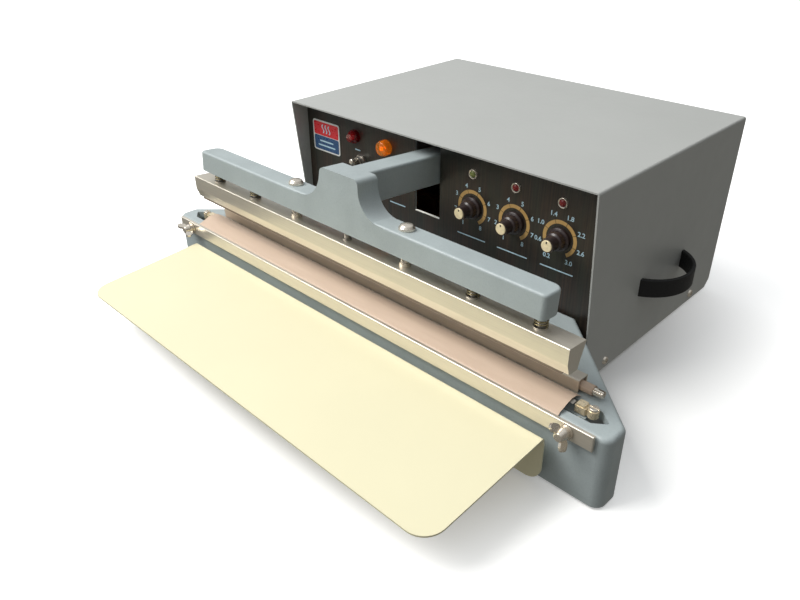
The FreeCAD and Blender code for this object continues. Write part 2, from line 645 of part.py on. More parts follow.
def pivot_frame():
    """Two upright cheeks with a foot plate and the cross bar that the open arm rests on."""
    foot = box(-40, 40, 150, 215, floor_top(), floor_top() + 4)
    cheek = prism([(152, floor_top() + 3), (210, floor_top() + 3),
                   (194, PIVOT_Z + 8, 8), (164, PIVOT_Z + 8, 8)], "x", 14, 19)
    rest_back = 202.0
    rest_top = opened(rod(1, (0, rest_back, 0), (0, rest_back, BAR_TOP))).BoundBox.ZMax - 0.5
    rest = box(-16, 16, 196, rest_back, 115, rest_top)
    side = box(14, 17, 190, rest_back, 100, rest_top)
    frame = fused([foot, cheek, mirrored(cheek), rest, side, mirrored(side)])
    return frame.cut(rod(SHAFT_RADIUS, (-30, PIVOT_Y, PIVOT_Z), (30, PIVOT_Y, PIVOT_Z)))


def pivot_shaft():
    shaft = rod(SHAFT_RADIUS, (-23, PIVOT_Y, PIVOT_Z), (23, PIVOT_Y, PIVOT_Z))
    return shaft.makeChamfer(0.8, [e for e in shaft.Edges if abs(e.CenterOfMass.x) > 22])


def solenoid_frame():
    """Open steel frame bolted to the floor."""
    z0, z1 = floor_top(), floor_top() + 76
    frame = box(-30, 30, SOLENOID_Y - 24, SOLENOID_Y + 24, z0, z1)
    frame = frame.cut(box(-26, 26, SOLENOID_Y - 25, SOLENOID_Y + 25, z0 + 4, z1 - 4))
    return frame.cut(rod(PLUNGER_RADIUS + 0.5, (0, SOLENOID_Y, z1 - 5), (0, SOLENOID_Y, z1 + 1)))


def solenoid_coil():
    z0, z1 = floor_top() + 4, floor_top() + 72
    bore = PLUNGER_RADIUS + 0.5
    profile = [(bore, z0), (24, z0), (24, z0 + 3), (22.5, z0 + 3),
               (22.5, z1 - 3), (24, z1 - 3), (24, z1), (bore, z1)]
    return lathe(profile, (0, SOLENOID_Y, 0), (0, 0, 1))


def solenoid_plunger():
    """Plunger with a fork whose slots hold the arm's drive pin, drawn at the open position."""
    plunger = rod(PLUNGER_RADIUS, (0, SOLENOID_Y, 30), (0, SOLENOID_Y, 108))
    bridge = box(-17, 17, SOLENOID_Y - 8, SOLENOID_Y + 8, 106, 112)
    cheek = prism([(SOLENOID_Y - 8, 106), (SOLENOID_Y + 8, 106), (SOLENOID_Y + 8, PIVOT_Z + 8, 6),
                   (SOLENOID_Y - 8, PIVOT_Z + 8, 6)], "x", 13.2, 17)
    slot_half = DRIVE_PIN_RADIUS + 0.35
    front, back = SOLENOID_Y - 5, SOLENOID_Y + 5
    slot = prism([(front, PIVOT_Z - slot_half, 2), (back, PIVOT_Z - slot_half, 2),
                  (back, PIVOT_Z + slot_half, 2), (front, PIVOT_Z + slot_half, 2)], "x", -20, 20)
    shape = fused([plunger, bridge, cheek, mirrored(cheek)]).cut(slot)
    shape.translate(V(0, 0, PIN_DROP))
    return shape


def return_spring():
    return coil(7, 1.6, 14, floor_top() + 4.5, 127, 0, 217)


def transformer_core():
    """E-I lamination stack on its feet."""
    z0 = floor_top()
    core = box(-160, -80, 120, 180, z0 + 8, z0 + 76)
    window = [box(x0, x1, 119, 181, z0 + 22, z0 + 62) for x0, x1 in ((-148, -132), (-108, -92))]
    feet = box(-170, -70, 125, 175, z0, z0 + 8)
    return fused([core.cut(window[0]).cut(window[1]), feet])


def transformer_coil():
    z0 = floor_top()
    outer = prism([(-147, 106, 6), (-93, 106, 6), (-93, 194, 6), (-147, 194, 6)], "z", z0 + 23, z0 + 61)
    return outer.cut(box(-132.05, -107.95, 119.95, 180.05, z0 + 20, z0 + 65)).cut(transformer_core())


def timer_board():
    """Timer circuit board on four stand-offs, with its relays and capacitors."""
    z0 = floor_top()
    board = box(60, 170, 90, 210, z0 + 10, z0 + 11.6)
    posts = [rod(3, (x, y, z0), (x, y, z0 + 10.5)) for x in (66, 164) for y in (96, 204)]
    relays = [box(x, x + 19, 180, 196, z0 + 11, z0 + 27) for x in (76, 104, 132)]
    capacitors = [rod(6, (x, 130, z0 + 11), (x, 130, z0 + 31)) for x in (80, 98, 116)]
    chip = box(124, 150, 104, 112, z0 + 11, z0 + 15)
    return fused([board, chip] + posts + relays + capacitors)


def power_inlet():
    """Three-pin mains inlet in the rear panel."""
    back = CABINET_BACK - 1.0
    flange = prism([(-150, 45, 3), (-110, 45, 3), (-110, 75, 3), (-150, 75, 3)], "y", back, back + 3)
    body = box(-143.9, -116.1, back - 20, back + 1, 49.1, 70.9)
    recess = prism([(-142, 51, 1), (-118, 51, 1), (-118, 65, 1), (-122, 69, 1), (-138, 69, 1), (-142, 65, 1)],
                   "y", back - 15, back + 4)
    pins = [box(x - 1, x + 1, back - 16, back - 4, z - 2, z + 2)
            for x, z in ((-137, 57), (-130, 62), (-123, 57))]
    return fused([fused([flange, body]).cut(recess)] + pins)


def fuse_holder():
    back = CABINET_BACK - 1.0
    tip = HALF_DEPTH - back
    profile = [(0, -24), (5, -24), (5, -12), (6, -12), (6, 0), (8, 0), (8, 2.5), (6.6, 3),
               (6.2, tip, 1), (0, tip)]
    holder = lathe(profile, (-80, back, 60), (0, 1, 0))
    return holder.cut(box(-81, -79, HALF_DEPTH - 1.5, HALF_DEPTH + 1, 55, 65))


def pedal_socket():
    """Jack socket for the foot switch."""
    back = CABINET_BACK - 1.0
    profile = [(3.3, -14), (3.3, 5), (5.6, 5), (6, 2), (8, 2), (8, 0), (6, 0), (6, -16), (0, -16), (0, -14)]
    return lathe(profile, (100, back, 60), (0, 1, 0))


# ---- arm and upper jaw, built level and then opened ---------------------------------------------
def arm_casting():
    """T-shaped arm: a bar over the jaw, a hump in the middle and a beam back to the pivot."""
    back = BAR_FRONT + BAR_DEPTH
    end = BAR_HALF_LENGTH
    bar = prism([(-end, BAR_FRONT, 4), (end, BAR_FRONT, 4), (end, back, 9), (-end, back, 9)],
                "z", BAR_BOTTOM, BAR_TOP)
    bar = round_edges(bar, 2.2, lambda c, e: c.z > BAR_TOP - 0.1)
    crest = PIVOT_Z + ARM_HALF_HEIGHT + 1.0
    flank = HUMP_HALF_WIDTH + HUMP_FLANK
    right = [(flank + 4, BAR_TOP - 3), (flank + 4, BAR_TOP - 1),
             (HUMP_HALF_WIDTH + 1.5, BAR_TOP - 1, HUMP_FLANK), (HUMP_HALF_WIDTH - 1.5, crest, 5)]
    left = [(-p[0], *p[1:]) for p in reversed(right)]
    hump = prism(right + left, "y", BAR_FRONT, back)
    beam = box(-ARM_HALF_WIDTH, ARM_HALF_WIDTH, back - 4, ARM_TAIL, BAR_TOP, PIVOT_Z + ARM_HALF_HEIGHT)
    beam = round_edges(beam, 2.5, lambda c, e: e.Length > 100)
    arm = fused([bar, hump, beam])
    arm = arm.cut(rod(BUSH_RADIUS, (-20, PIVOT_Y, PIVOT_Z), (20, PIVOT_Y, PIVOT_Z)))
    arm = arm.cut(rod(DRIVE_PIN_RADIUS, (-20, SOLENOID_Y, PIVOT_Z), (20, SOLENOID_Y, PIVOT_Z)))
    middle = BAR_FRONT + BAR_DEPTH / 2
    for x in (-SCREW_X, SCREW_X):
        arm = arm.cut(rod(4.5, (x, middle, BAR_BOTTOM - 1), (x, middle, BAR_TOP + 1)))
    for x in PIN_XS:
        arm = arm.cut(rod(3.5, (x, middle, BAR_BOTTOM - 1), (x, middle, BAR_BOTTOM + 8)))
    return arm.removeSplitter()


def pivot_bushes():
    bushes = []
    for x0, x1 in ((-ARM_HALF_WIDTH - 1, -2), (2, ARM_HALF_WIDTH + 1)):
        bush = rod(BUSH_RADIUS, (x0, PIVOT_Y, PIVOT_Z), (x1, PIVOT_Y, PIVOT_Z))
        bore = rod(SHAFT_RADIUS + RUNNING, (x0 - 1, PIVOT_Y, PIVOT_Z), (x1 + 1, PIVOT_Y, PIVOT_Z))
        bushes.append(bush.cut(bore))
    return bushes


def drive_pin():
    return rod(DRIVE_PIN_RADIUS, (-18.5, SOLENOID_Y, PIVOT_Z), (18.5, SOLENOID_Y, PIVOT_Z))


def upper_jaw():
    """Aluminium jaw bar: widest at the top, its sides leaning in and then tapering to the rubber."""
    front, back = JAW_FRONT, JAW_FRONT + JAW_WIDTH
    land = RUBBER_HALF_WIDTH + 0.4
    section = [(front, JAW_TOP, 0.8), (back, JAW_TOP, 0.8), (back - 4.5, JAW_TOP - 15, 0.5),
               (SEAL_Y + land, JAW_BOTTOM, 0.5), (SEAL_Y - land, JAW_BOTTOM, 0.5),
               (front + 1.2, JAW_TOP - 14, 0.5)]
    jaw = prism(section, "x", JAW_LEFT - ARM_X, JAW_RIGHT - ARM_X)
    middle = BAR_FRONT + BAR_DEPTH / 2
    for x in (-SCREW_X, SCREW_X):
        jaw = jaw.cut(rod(3.0, (x, middle, JAW_TOP - 10), (x, middle, JAW_TOP + 1)))
    for x in PIN_XS:
        jaw = jaw.cut(rod(2.5, (x, middle, JAW_TOP - 6), (x, middle, JAW_TOP + 1)))
    return jaw


def silicone_strip():
    left, right = JAW_LEFT - ARM_X + 6, JAW_RIGHT - ARM_X - 6
    front, back = SEAL_Y - RUBBER_HALF_WIDTH, SEAL_Y + RUBBER_HALF_WIDTH
    return box(left, right, front, back, JAW_BOTTOM - RUBBER_THICK, JAW_BOTTOM)


def shoulder_screws():
    """Dome-head shoulder screws: the jaw hangs from them and can rise against its springs."""
    middle = BAR_FRONT + BAR_DEPTH / 2
    head = BAR_TOP + 0.3
    depth = head - JAW_TOP
    profile = [(0, -depth - 9), (3, -depth - 9), (3, -depth), (5.2, -depth), (5.2, -depth + 3.5),
               (4, -depth + 3.5), (4, 0), (7, 0), (7, 1.6, 0.5), (5.2, 4.2, 2), (0, 5)]
    return [lathe(profile, (x, middle, head), (0, 0, 1)) for x in (-SCREW_X, SCREW_X)]


def jaw_pins():
    """Guide pins set in the jaw; four carry a spring and the middle one locates the bar."""
    middle = BAR_FRONT + BAR_DEPTH / 2
    pins = []
    for x in PIN_XS:
        collar = 5.8 if x else 4.0
        profile = [(0, -5), (2.5, -5), (2.5, 0), (collar, 0), (collar, 1.2), (3.0, 1.2), (3.0, 15.5),
                   (2.4, 16.5), (0, 16.5)]
        pins.append(lathe(profile, (x, middle, JAW_TOP), (0, 0, 1)))
    return pins


def jaw_springs():
    middle = BAR_FRONT + BAR_DEPTH / 2
    return [coil(4.9, 1.1, 4, JAW_TOP + 1.3, BAR_BOTTOM - 0.1, x - ARM_X, middle) for x in SPRING_XS]


# ---- write every piece --------------------------------------------------------------------------
def main():
    os.makedirs("parts", exist_ok=True)
    save("base_casting", base_casting())
    save("front_clamp_strip", front_clamp_strip())
    save("wing_screw_left", wing_screw(-WING_X, 20))
    save("wing_screw_right", wing_screw(WING_X, 55))
    save("insulation_strip", insulation_strip())
    save("heating_element", heating_element())
    save("ptfe_cover", ptfe_cover())
    save("rear_channel", rear_channel())
    save("roll_rod", roll_rod())
    save("ptfe_roll", ptfe_roll())
    save("tension_block_right", tension_block())
    save("tension_block_left", mirrored(tension_block()))
    save("tension_screw_right", tension_screw())
    save("tension_screw_left", mirrored(tension_screw()))
    save("work_table", work_table())
    save("table_screws", *table_screws())
    save("cabinet_cover", cabinet_cover())
    save("chassis_floor", chassis_floor())
    save("front_panel", front_panel())
    save("panel_overlay", panel_overlay())
    save("rear_panel", rear_panel())
    save("badge_plate", badge_plate())
    save("handle_right", handle())
    save("handle_left", mirrored(handle()))
    save("rubber_feet", *rubber_feet())
    save("cover_screws", *cover_screws())
    for name, x in zip(("cycle", "cooling", "sealing"), DIAL_XS):
        save(f"{name}_knob", timer_knob(x))
        save(f"{name}_knob_cap", knob_cap(x))
    save("timer_pots", *timer_pots())
    save("led_bezels", *[led_bezel(x) for x in DIAL_XS])
    save("leds", *[led(x) for x in DIAL_XS])
    save("red_lamp", red_lamp())
    save("amber_lamp", amber_lamp())
    save("toggle_bodies", *toggle_bodies())
    for name, spot in TOGGLES.items():
        save(f"{name}_toggle", toggle_lever(spot))
    save("pivot_frame", on_arm_line(pivot_frame()))
    save("pivot_shaft", on_arm_line(pivot_shaft()))
    save("solenoid_frame", on_arm_line(solenoid_frame()))
    save("solenoid_coil", on_arm_line(solenoid_coil()))
    save("solenoid_plunger", on_arm_line(solenoid_plunger()))
    save("return_spring", on_arm_line(return_spring()))
    save("transformer_core", transformer_core())
    save("transformer_coil", transformer_coil())
    save("timer_board", timer_board())
    save("power_inlet", power_inlet())
    save("fuse_holder", fuse_holder())
    save("pedal_socket", pedal_socket())
    save("arm_casting", opened(arm_casting()))
    save("pivot_bushes", *[opened(b) for b in pivot_bushes()])
    save("drive_pin", opened(drive_pin()))
    save("upper_jaw", opened(upper_jaw()))
    save("silicone_strip", opened(silicone_strip()))
    save("shoulder_screws", *[opened(s) for s in shoulder_screws()])
    save("jaw_pins", *[opened(p) for p in jaw_pins()])
    save("jaw_springs", *[opened(s) for s in jaw_springs()])


main()
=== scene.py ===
import json
import math

import bmesh
import bpy
from mathutils import Matrix, Vector, noise


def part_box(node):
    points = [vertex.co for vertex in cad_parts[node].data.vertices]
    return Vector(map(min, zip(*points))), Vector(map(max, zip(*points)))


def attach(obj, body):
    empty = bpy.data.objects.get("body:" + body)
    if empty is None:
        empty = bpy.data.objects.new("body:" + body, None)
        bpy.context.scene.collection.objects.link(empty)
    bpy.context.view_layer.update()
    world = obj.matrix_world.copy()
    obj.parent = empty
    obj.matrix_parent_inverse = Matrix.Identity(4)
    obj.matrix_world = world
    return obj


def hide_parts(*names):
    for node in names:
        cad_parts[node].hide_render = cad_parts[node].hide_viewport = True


# The looks of an impulse heat sealer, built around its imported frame.  Metres, +X along the jaws,
# +Y to the back, +Z up, like the frame.

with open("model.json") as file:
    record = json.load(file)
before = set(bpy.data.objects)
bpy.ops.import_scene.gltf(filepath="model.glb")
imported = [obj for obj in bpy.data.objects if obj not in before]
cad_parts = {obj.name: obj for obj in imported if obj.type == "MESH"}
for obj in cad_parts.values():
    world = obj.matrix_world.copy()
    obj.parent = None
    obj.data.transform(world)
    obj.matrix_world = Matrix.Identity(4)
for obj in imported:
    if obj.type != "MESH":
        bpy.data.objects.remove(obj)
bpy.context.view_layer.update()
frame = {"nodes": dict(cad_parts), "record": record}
NODES = frame["nodes"]
MM = 0.001
TIMERS = ("cycle", "cooling", "sealing")

PRINT_THICK = 0.07 * MM     # a printed plate on the panel or the badge
PRINT_PROUD = 0.08 * MM     # its front, ahead of what it is printed on
DIAL_SWEEP = 300.0          # degrees from the first number to the last
NUMERAL_SIZE = 6.0 * MM


def centre(node):
    low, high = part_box(node)
    return (low + high) / 2


# ---- shader building -------------------------------------------------------------------------
def srgb(red, green, blue):
    """Linear colour from display values 0 to 255."""
    def linear(v):
        v /= 255
        return v / 12.92 if v <= 0.04045 else ((v + 0.055) / 1.055) ** 2.4
    return (linear(red), linear(green), linear(blue), 1.0)


class Finish:
    """One Principled material, with short calls for the nodes that vary it over the surface."""

    def __init__(self, name, colour, rough, metal=0.0, **sockets):
        self.material = bpy.data.materials.new(name)
        self.material.use_nodes = True
        self.tree = self.material.node_tree
        self.shader = self.tree.nodes["Principled BSDF"]
        self.colour = colour
        self.shader.inputs["Base Color"].default_value = colour
        self.shader.inputs["Roughness"].default_value = rough
        self.shader.inputs["Metallic"].default_value = metal
        for socket, value in sockets.items():
            self.shader.inputs[socket.replace("_", " ")].default_value = value
        self.place = self.add("ShaderNodeTexCoord").outputs["Object"]

    def add(self, kind, **settings):
        node = self.tree.nodes.new(kind)
        for key, value in settings.items():
            setattr(node, key, value)
        return node

    def link(self, source, node, socket):
        self.tree.links.new(source, node.inputs[socket])

    def stretched(self, per_metre):
        """Object coordinates times a scale for each axis."""
        node = self.add("ShaderNodeMapping")
        self.link(self.place, node, "Vector")
        node.inputs["Scale"].default_value = per_metre
        return node.outputs["Vector"]

    def noise(self, per_metre, detail=3.0, rough=0.55):
        """Noise from 0 to 1, with so many cells per metre on each axis."""
        per_metre = per_metre if hasattr(per_metre, "__len__") else (per_metre,) * 3
        node = self.add("ShaderNodeTexNoise")
        self.link(self.stretched(per_metre), node, "Vector")
        node.inputs["Scale"].default_value = 1.0
        node.inputs["Detail"].default_value = detail
        node.inputs["Roughness"].default_value = rough
        return node.outputs["Fac"]

    def cells(self, per_metre, smooth=0.6):
        """Distance from the middle of rounded cells."""
        node = self.add("ShaderNodeTexVoronoi", feature="SMOOTH_F1")
        self.link(self.stretched((per_metre,) * 3), node, "Vector")
        node.inputs["Scale"].default_value = 1.0
        node.inputs["Smoothness"].default_value = smooth
        return node.outputs["Distance"]

    def bands(self, axis, pitch, warp=0.0):
        """Bands across an axis, so many metres apart."""
        per_metre = 2 * math.pi / pitch / 20
        node = self.add("ShaderNodeTexWave", wave_type="BANDS", bands_direction=axis)
        self.link(self.stretched((per_metre,) * 3), node, "Vector")
        node.inputs["Scale"].default_value = 1.0
        node.inputs["Distortion"].default_value = warp
        return node.outputs["Fac"]

    def math(self, operation, first, second):
        node = self.add("ShaderNodeMath", operation=operation)
        for i, value in enumerate((first, second)):
            if isinstance(value, (int, float)):
                node.inputs[i].default_value = value
            else:
                self.link(value, node, i)
        return node.outputs[0]

    def ramp(self, value, low, high, start=0.3, end=0.7):
        """Colour or grey that runs from low to high as value goes from start to end."""
        node = self.add("ShaderNodeValToRGB")
        self.link(value, node, "Fac")
        for element, spot, shade in zip(node.color_ramp.elements, (start, end), (low, high)):
            element.position = spot
            element.color = shade if hasattr(shade, "__len__") else (shade, shade, shade, 1.0)
        return node.outputs["Color"]

    def mixed(self, share, first, second):
        """The first colour where share is 0, the second where it is 1."""
        node = self.add("ShaderNodeMix", data_type="RGBA")
        self.link(share, node, 0)
        for index, value in ((6, first), (7, second)):
            if hasattr(value, "default_value"):
                self.link(value, node, index)
            else:
                node.inputs[index].default_value = value
        return node.outputs[2]

    def tinted(self, factor):
        """The base colour made lighter or darker."""
        return tuple(min(1.0, c * factor) for c in self.colour[:3]) + (1.0,)

    def mottle(self, per_metre, spread, detail=4.0):
        """Vary the base colour by a share each way."""
        value = self.noise(per_metre, detail)
        colour = self.ramp(value, self.tinted(1 - spread), self.tinted(1 + spread), 0.25, 0.75)
        self.link(colour, self.shader, "Base Color")
        return colour

    def roughen(self, per_metre, low, high):
        """Vary the roughness from low to high."""
        self.link(self.ramp(self.noise(per_metre), low, high), self.shader, "Roughness")

    def relief(self, height, depth, strength=1.0):
        """Bump from a height of 0 to 1, where 1 is so many metres."""
        node = self.add("ShaderNodeBump")
        node.inputs["Strength"].default_value = strength
        node.inputs["Distance"].default_value = depth
        self.link(height, node, "Height")
        self.link(node.outputs["Normal"], self.shader, "Normal")


# ---- materials -------------------------------------------------------------------------------
def hammered_paint():
    """Grey enamel with a hammered skin and fine dark specks."""
    f = Finish("casting_paint", srgb(165, 175, 176), 0.45, Coat_Weight=0.15, Coat_Roughness=0.3)
    broad = f.noise(28, 3)
    speck = f.noise(900, 2)
    colour = f.ramp(broad, f.tinted(0.93), f.tinted(1.06))
    shade = f.ramp(speck, (0.90, 0.91, 0.92, 1), (1, 1, 1, 1), 0.32, 0.52)
    blend = f.add("ShaderNodeMix", data_type="RGBA", blend_type="MULTIPLY")
    blend.inputs[0].default_value = 0.8
    f.link(colour, blend, 6)
    f.link(shade, blend, 7)
    f.link(blend.outputs[2], f.shader, "Base Color")
    f.roughen(180, 0.36, 0.5)
    f.relief(f.math("ADD", f.cells(430), f.math("MULTIPLY", f.noise(90, 2), 0.8)), 0.16 * MM, 0.55)
    return f.material


def cabinet_paint():
    f = Finish("cabinet_paint", srgb(175, 177, 174), 0.42, Coat_Weight=0.15, Coat_Roughness=0.25)
    f.mottle(9, 0.025)
    f.roughen(60, 0.36, 0.48)
    f.relief(f.noise(620, 2), 0.02 * MM, 0.35)
    return f.material


def table_paint():
    f = Finish("table_paint", srgb(227, 221, 188), 0.40, Coat_Weight=0.15, Coat_Roughness=0.25)
    f.mottle(7, 0.02)
    f.roughen(50, 0.35, 0.46)
    f.relief(f.noise(520, 2), 0.02 * MM, 0.3)
    return f.material


def panel_print():
    """Dark printed film with faint upright streaks of brown and green."""
    f = Finish("panel_print", srgb(40, 33, 29), 0.38, Coat_Weight=0.2, Coat_Roughness=0.25)
    streak = f.noise((640, 3, 12), 3)
    tint = f.noise((60, 5, 14), 2)
    brown = f.ramp(streak, srgb(33, 28, 25), srgb(62, 48, 38), 0.35, 0.75)
    green = f.ramp(streak, srgb(31, 31, 28), srgb(48, 48, 38), 0.35, 0.75)
    f.link(f.mixed(f.ramp(tint, 0.0, 1.0, 0.4, 0.6), brown, green), f.shader, "Base Color")
    f.roughen(300, 0.32, 0.45)
    f.relief(f.noise(1500, 2), 0.01 * MM, 0.4)
    return f.material


def drawn_aluminium(name, colour, rough, stretch=(7, 1300, 1300)):
    """Extruded bar: fine lines along its length."""
    f = Finish(name, colour, rough, 0.8)
    lines = f.noise(stretch, 4, 0.7)
    f.link(f.ramp(lines, f.tinted(0.94), f.tinted(1.03), 0.3, 0.7), f.shader, "Base Color")
    f.link(f.ramp(f.noise((20, 300, 300)), rough - 0.05, rough + 0.06), f.shader, "Roughness")
    f.relief(lines, 0.006 * MM, 0.5)
    return f.material


def bright_steel():
    """Plated and polished."""
    f = Finish("bright_steel", srgb(230, 221, 207), 0.22, 0.85)
    f.mottle(260, 0.05)
    f.roughen(700, 0.16, 0.30)
    f.relief(f.noise(1400, 3), 0.008 * MM, 0.5)
    return f.material


def machined_steel(name, colour, rough):
    """Bare metal with fine turning marks."""
    f = Finish(name, colour, rough, 1.0)
    f.mottle((500, 500, 60), 0.12)
    f.roughen(350, rough - 0.08, rough + 0.12)
    f.relief(f.noise((1500, 1500, 200), 3), 0.01 * MM, 0.6)
    return f.material


def brass():
    f = Finish("brass", srgb(230, 214, 182), 0.38, 0.45)
    f.mottle(380, 0.06)
    f.roughen(500, 0.2, 0.4)
    f.relief(f.noise(900, 3), 0.012 * MM, 0.6)
    return f.material


def weave(name, colour, pitch, rough=0.5, spread=0.06, shadow=0.8):
    """Coated cloth: crossing threads with so many metres between them, and painted shade in the gaps
    between threads.
    """
    f = Finish(name, colour, rough, Sheen_Weight=0.12, Sheen_Roughness=0.4,
               Coat_Weight=0.15, Coat_Roughness=0.35)
    threads = f.math("MULTIPLY", f.bands("X", pitch, 0.4), f.bands("Y", pitch, 0.4))
    ground = f.ramp(f.noise((14, 60, 60), 3), f.tinted(1 - spread), f.tinted(1 + spread))
    # dark is the cloth's colour times shadow: painted shade for the gaps between the threads.
    dark = tuple(c * shadow for c in colour[:3]) + (1.0,)
    f.link(f.mixed(f.ramp(threads, 0.0, 1.0, 0.1, 0.6), dark, ground), f.shader, "Base Color")
    f.roughen(240, rough - 0.08, rough + 0.1)
    f.relief(threads, 0.03 * MM, 0.5)
    return f.material


def moulded(name, colour, rough, grain=1200, depth=0.015, **sockets):
    """Plastic, rubber or ink; depth is the grain's relief in millimetres."""
    f = Finish(name, colour, rough, **sockets)
    f.mottle(300, 0.10)
    f.roughen(500, rough - 0.07, rough + 0.09)
    f.relief(f.noise(grain, 3), depth * MM, 0.6)
    return f.material


def coloured_lens(name, colour, glow):
    """Clear tinted plastic, lit a little by glow."""
    f = Finish(name, colour, 0.08, Transmission_Weight=0.75, IOR=1.49, Emission_Strength=glow)
    f.shader.inputs["Emission Color"].default_value = colour
    f.mottle(160, 0.18)
    f.roughen(500, 0.04, 0.12)
    f.relief(f.noise(350, 2), 0.012 * MM, 0.4)
    return f.material


def winding():
    """Enamelled copper wire, laid in turns, with painted shade in the grooves between them."""
    f = Finish("winding", srgb(150, 84, 38), 0.35, 0.3, Coat_Weight=0.6, Coat_Roughness=0.15)
    turns = f.bands("Z", 0.9 * MM, 0.6)
    # The colour runs dark in the grooves between the turns: painted shade.
    f.link(f.ramp(turns, srgb(70, 36, 18), srgb(176, 104, 48), 0.15, 0.6), f.shader, "Base Color")
    f.roughen(400, 0.28, 0.45)
    f.relief(turns, 0.1 * MM, 0.8)
    return f.material


def lamination():
    """A stack of thin varnished steel sheets."""
    f = Finish("lamination", srgb(52, 53, 56), 0.45, 0.5, Coat_Weight=0.3, Coat_Roughness=0.3)
    sheets = f.bands("Y", 1.0 * MM, 0.3)
    f.link(f.ramp(sheets, srgb(28, 28, 30), srgb(74, 74, 78), 0.2, 0.6), f.shader, "Base Color")
    f.roughen(300, 0.38, 0.55)
    f.relief(sheets, 0.06 * MM, 0.7)
    return f.material


def circuit_board():
    """Green board with pale tracks."""
    f = Finish("board", srgb(24, 84, 52), 0.35, Coat_Weight=0.5, Coat_Roughness=0.2)
    tracks = f.add("ShaderNodeTexBrick")
    f.link(f.stretched((130, 130, 130)), tracks, "Vector")
    tracks.inputs["Color1"].default_value = srgb(20, 78, 48)
    tracks.inputs["Color2"].default_value = srgb(28, 96, 58)
    tracks.inputs["Mortar"].default_value = srgb(120, 150, 96)
    tracks.inputs["Mortar Size"].default_value = 0.03
    f.link(tracks.outputs["Color"], f.shader, "Base Color")
    f.roughen(300, 0.28, 0.42)
    f.relief(f.noise(700, 3), 0.02 * MM, 0.5)
    return f.material


LAMP_RED = srgb(176, 16, 28)
LAMP_AMBER = srgb(248, 146, 36)
SLOTS = {
    "casting_paint": hammered_paint(),
    "cabinet_paint": cabinet_paint(),
    "table_paint": table_paint(),
    "panel_print": panel_print(),
    "aluminium": drawn_aluminium("aluminium", srgb(228, 221, 207), 0.38),
    "bright_steel": bright_steel(),
    "dull_steel": machined_steel("dull_steel", srgb(176, 172, 166), 0.36),
    "spring_steel": machined_steel("spring_steel", srgb(170, 158, 124), 0.3),
    "brass": brass(),
    "bronze": machined_steel("bronze", srgb(190, 140, 92), 0.34),
    "release_fabric": weave("release_fabric", srgb(212, 187, 164), 0.7 * MM),
    "insulation": weave("insulation", srgb(214, 208, 190), 1.0 * MM, 0.7),
    "element_alloy": drawn_aluminium("element_alloy", srgb(180, 174, 164), 0.3),
    "black_rubber": moulded("black_rubber", srgb(24, 24, 25), 0.55, 900, 0.03, Specular_IOR_Level=0.4),
    "silicone": moulded("silicone", srgb(128, 112, 98), 0.5, 900, 0.03),
    "knob_brown": moulded("knob_brown", srgb(48, 36, 36), 0.33, 1500, 0.012, Coat_Weight=0.3),
    "cap_cream": moulded("cap_cream", srgb(238, 222, 182), 0.25, 1500, 0.01, Coat_Weight=0.5),
    "switch_case": moulded("switch_case", srgb(30, 30, 32), 0.42, 1100, 0.02),
    "lens_red": coloured_lens("lens_red", LAMP_RED, 0.0),
    "lens_amber": coloured_lens("lens_amber", LAMP_AMBER, 0.10),
    "led_lens": moulded("led_lens", srgb(150, 40, 40), 0.2, 900, 0.01, Transmission_Weight=0.4),
    "badge": moulded("badge", srgb(214, 216, 214), 0.3, 1400, 0.008, Coat_Weight=0.4),
    "winding": winding(),
    "lamination": lamination(),
    "board": circuit_board(),
}
LED_GREEN = moulded("led_green", srgb(150, 160, 92), 0.2, 900, 0.01, Transmission_Weight=0.4)
DIAL_GOLD = moulded("dial_gold", srgb(186, 150, 92), 0.4, 1200, 0.01)
PRINT_PALE = moulded("print_pale", srgb(178, 208, 222), 0.45, 1200, 0.01)
# Near-white matte finish for the strip on the arm slot's bottom edge: a painted highlight.
SLOT_EDGE_HIGHLIGHT = moulded("slot_edge_highlight", srgb(250, 248, 240), 0.4, 1500, 0.008)
PRINT_DARK = moulded("print_dark", srgb(44, 34, 30), 0.45, 1200, 0.01)
BADGE_RED = moulded("badge_red", srgb(206, 44, 52), 0.3, 1400, 0.008, Coat_Weight=0.4)
BADGE_BLUE = moulded("badge_blue", srgb(44, 78, 118), 0.3, 1400, 0.008, Coat_Weight=0.4)


def dress_frame():
    """Give every node of the frame the finish of its slot."""
    for part in frame["record"]["subparts"]:
        mesh = NODES[part["node"]].data
        mesh.materials.clear()
        mesh.materials.append(SLOTS[part["material_slot"]])


# ---- mesh building ---------------------------------------------------------------------------
def piece(name, mesh, material, body, crease=35):
    """Link a finished mesh as a named piece that rides on a body."""
    mesh.materials.append(material)
    mesh.shade_smooth()
    mesh.set_sharp_from_angle(angle=math.radians(crease))
    obj = bpy.data.objects.new(name, mesh)
    bpy.context.scene.collection.objects.link(obj)
    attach(obj, body)
    return obj


def faces_mesh(name, points, faces):
    """A mesh from points and the corners of each face."""
    mesh = bpy.data.meshes.new(name)
    mesh.from_pydata([tuple(p) for p in points], [], faces)
    mesh.validate()
    return mesh


def turned(name, profile, at, axis, segments=48):
    """A closed turned mesh: (radius, height) points spun about an axis; the ends lie on it."""
    turn = Vector((0, 0, 1)).rotation_difference(Vector(axis)).to_matrix()
    at = Vector(at)
    points, rings = [], []
    for radius, height in profile:
        if radius == 0:
            rings.append([len(points)])
            points.append(at + turn @ Vector((0, 0, height)))
            continue
        rings.append(list(range(len(points), len(points) + segments)))
        for i in range(segments):
            angle = 2 * math.pi * i / segments
            spot = Vector((radius * math.cos(angle), radius * math.sin(angle), height))
            points.append(at + turn @ spot)
    faces = []
    for low, high in zip(rings, rings[1:]):
        for i in range(segments):
            j = (i + 1) % segments
            if len(low) == 1:
                faces.append((low[0], high[j], high[i]))
            elif len(high) == 1:
                faces.append((low[i], low[j], high[0]))
            else:
                faces.append((low[i], low[j], high[j], high[i]))
    mesh = faces_mesh(name, points, faces)
    tidy_normals(mesh)
    return mesh


